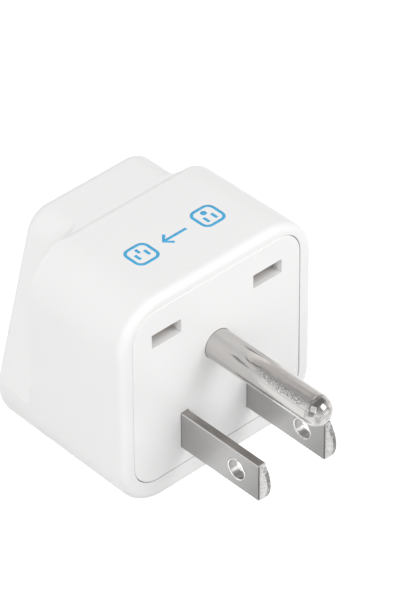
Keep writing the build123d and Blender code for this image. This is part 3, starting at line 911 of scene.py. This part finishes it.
def floor_material(setting):
    """Pale floor that shows white where it is open to the light, with a faint shadow at the object's foot."""
    material, tree, shader, place = new_material("pale_floor")
    speck = add_grain(tree, place, (40, 40, 40))
    colour = mix_colours(tree, speck, shaded(setting.floor, 0.99), shaded(setting.floor, 1.0))
    tree.links.new(colour, shader.inputs["Base Color"])
    shader.inputs["Roughness"].default_value = 1.0
    shader.inputs["Specular IOR Level"].default_value = 0.0
    shader.inputs["Emission Color"].default_value = (1, 1, 1, 1)
    tree.links.new(times(tree, seen_ray(tree), setting.floor_glow), shader.inputs["Emission Strength"])
    return material


def make_floor(setting):
    """Wide flat floor under the object."""
    reach = FLOOR_REACH
    corners = [(-reach, -reach, 0), (reach, -reach, 0), (reach, reach, 0), (-reach, reach, 0)]
    mesh = bpy.data.meshes.new("floor")
    mesh.from_pydata(corners, [], [(0, 1, 2, 3)])
    mesh.materials.append(floor_material(setting))
    floor = bpy.data.objects.new("floor", mesh)
    bpy.context.scene.collection.objects.link(floor)
    return floor


def make_sky(setting):
    """Even light from all round, weaker from above, that the camera sees as nearly white."""
    world = bpy.data.worlds.new("studio_sky")
    world.use_nodes = True
    tree = world.node_tree
    sky = tree.nodes["Background"]
    sky.inputs["Color"].default_value = (1.0, 0.99, 0.985, 1)
    direction = add_node(tree, "ShaderNodeTexCoord").outputs["Generated"]
    height = add_node(tree, "ShaderNodeSeparateXYZ", {0: direction}).outputs["Z"]
    dome = add_node(tree, "ShaderNodeMapRange", {
        "Value": height, "From Min": 0.1, "From Max": 0.75,
        "To Min": setting.horizon, "To Max": setting.zenith,
    }, interpolation_type="SMOOTHSTEP")
    path = add_node(tree, "ShaderNodeLightPath")
    level = add_node(tree, "ShaderNodeMix", {
        "Factor": path.outputs["Is Camera Ray"], FIRST_NUMBER: dome.outputs["Result"], SECOND_NUMBER: 1.0,
    })
    tree.links.new(level.outputs[0], sky.inputs["Strength"])
    return world


def make_camera(setting):
    """Camera at the photograph's viewing angle and framing."""
    data = bpy.data.cameras.new("photo_camera")
    data.sensor_width = 36.0
    data.lens = setting.focal_pixels * data.sensor_width / PHOTO_HEIGHT
    data.clip_start = 0.05
    data.clip_end = 20.0
    camera = bpy.data.objects.new("photo_camera", data)
    bpy.context.scene.collection.objects.link(camera)
    tilt = math.pi / 2 - setting.elevation
    turn = Matrix.Rotation(setting.azimuth, 3, "Z") @ Matrix.Rotation(tilt, 3, "X")
    turn = turn @ Matrix.Rotation(setting.roll, 3, "Z")
    step = turn @ Vector((setting.shift_right, setting.shift_up, setting.distance))
    start = Vector((0, PLUG_FACE_Y, BLADE_LINE_HEIGHT))
    camera.matrix_world = Matrix.Translation(start + step) @ turn.to_4x4()
    return camera


class ADAPTER_OT_studio(bpy.types.Operator):
    """Set the floor, the soft lights, the even sky and the camera"""

    bl_idname = "adapter.studio"
    bl_label = "Studio"

    def execute(self, context):
        setting = context.scene.adapter_studio
        scene = context.scene
        scene.view_settings.view_transform = "Standard"
        floor = make_floor(setting)
        aim = Vector((0, 0, HOUSING_HIGH.z / 2))
        left = soft_lamp("left_box", (-1.0, -0.45, 0.85), size=0.45, power=1.12, aim=aim)
        front = soft_lamp("front_box", (0.5, -1.0, 0.8), size=0.32, power=1.15, aim=aim)
        rear = soft_lamp("rear_box", (-1.0, 0.9, 0.6), size=0.45, power=0.15, aim=aim)
        scene.world = make_sky(setting)
        scene.camera = make_camera(setting)
        return {"FINISHED"}


OPERATORS = (
    ADAPTER_OT_plastic,
    ADAPTER_OT_pins,
    ADAPTER_OT_contacts,
    ADAPTER_OT_hole_rims,
    ADAPTER_OT_printed_mark,
    ADAPTER_OT_studio,
)
SETTINGS = {
    "adapter_plastic": PlasticLook,
    "adapter_windows": WindowShade,
    "adapter_metal": MetalLook,
    "adapter_rims": RimShape,
    "adapter_mark": MarkShape,
    "adapter_studio": StudioSetting,
}


class ADAPTER_PT_panel(bpy.types.Panel):
    """Settings and steps of the travel adapter"""

    bl_idname = "ADAPTER_PT_panel"
    bl_label = "Travel Adapter"
    bl_space_type = "VIEW_3D"
    bl_region_type = "UI"
    bl_category = "Adapter"

    def draw(self, context):
        for operator in OPERATORS:
            self.layout.operator(operator.bl_idname)
        for name, group in SETTINGS.items():
            box = self.layout.box()
            for key in group.__annotations__:
                box.prop(getattr(context.scene, name), key)


def register():
    for name, group in SETTINGS.items():
        bpy.utils.register_class(group)
        setattr(bpy.types.Scene, name, PointerProperty(type=group))
    for operator in OPERATORS:
        bpy.utils.register_class(operator)
    bpy.utils.register_class(ADAPTER_PT_panel)


def unregister():
    bpy.utils.unregister_class(ADAPTER_PT_panel)
    for operator in reversed(OPERATORS):
        bpy.utils.unregister_class(operator)
    for name, group in reversed(SETTINGS.items()):
        delattr(bpy.types.Scene, name)
        bpy.utils.unregister_class(group)


def main():
    """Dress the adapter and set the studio."""
    register()
    bpy.ops.adapter.plastic()
    bpy.ops.adapter.pins()
    bpy.ops.adapter.contacts()
    bpy.ops.adapter.hole_rims()
    bpy.ops.adapter.printed_mark()
    bpy.ops.adapter.studio()


if __name__ == "__main__":
    main()
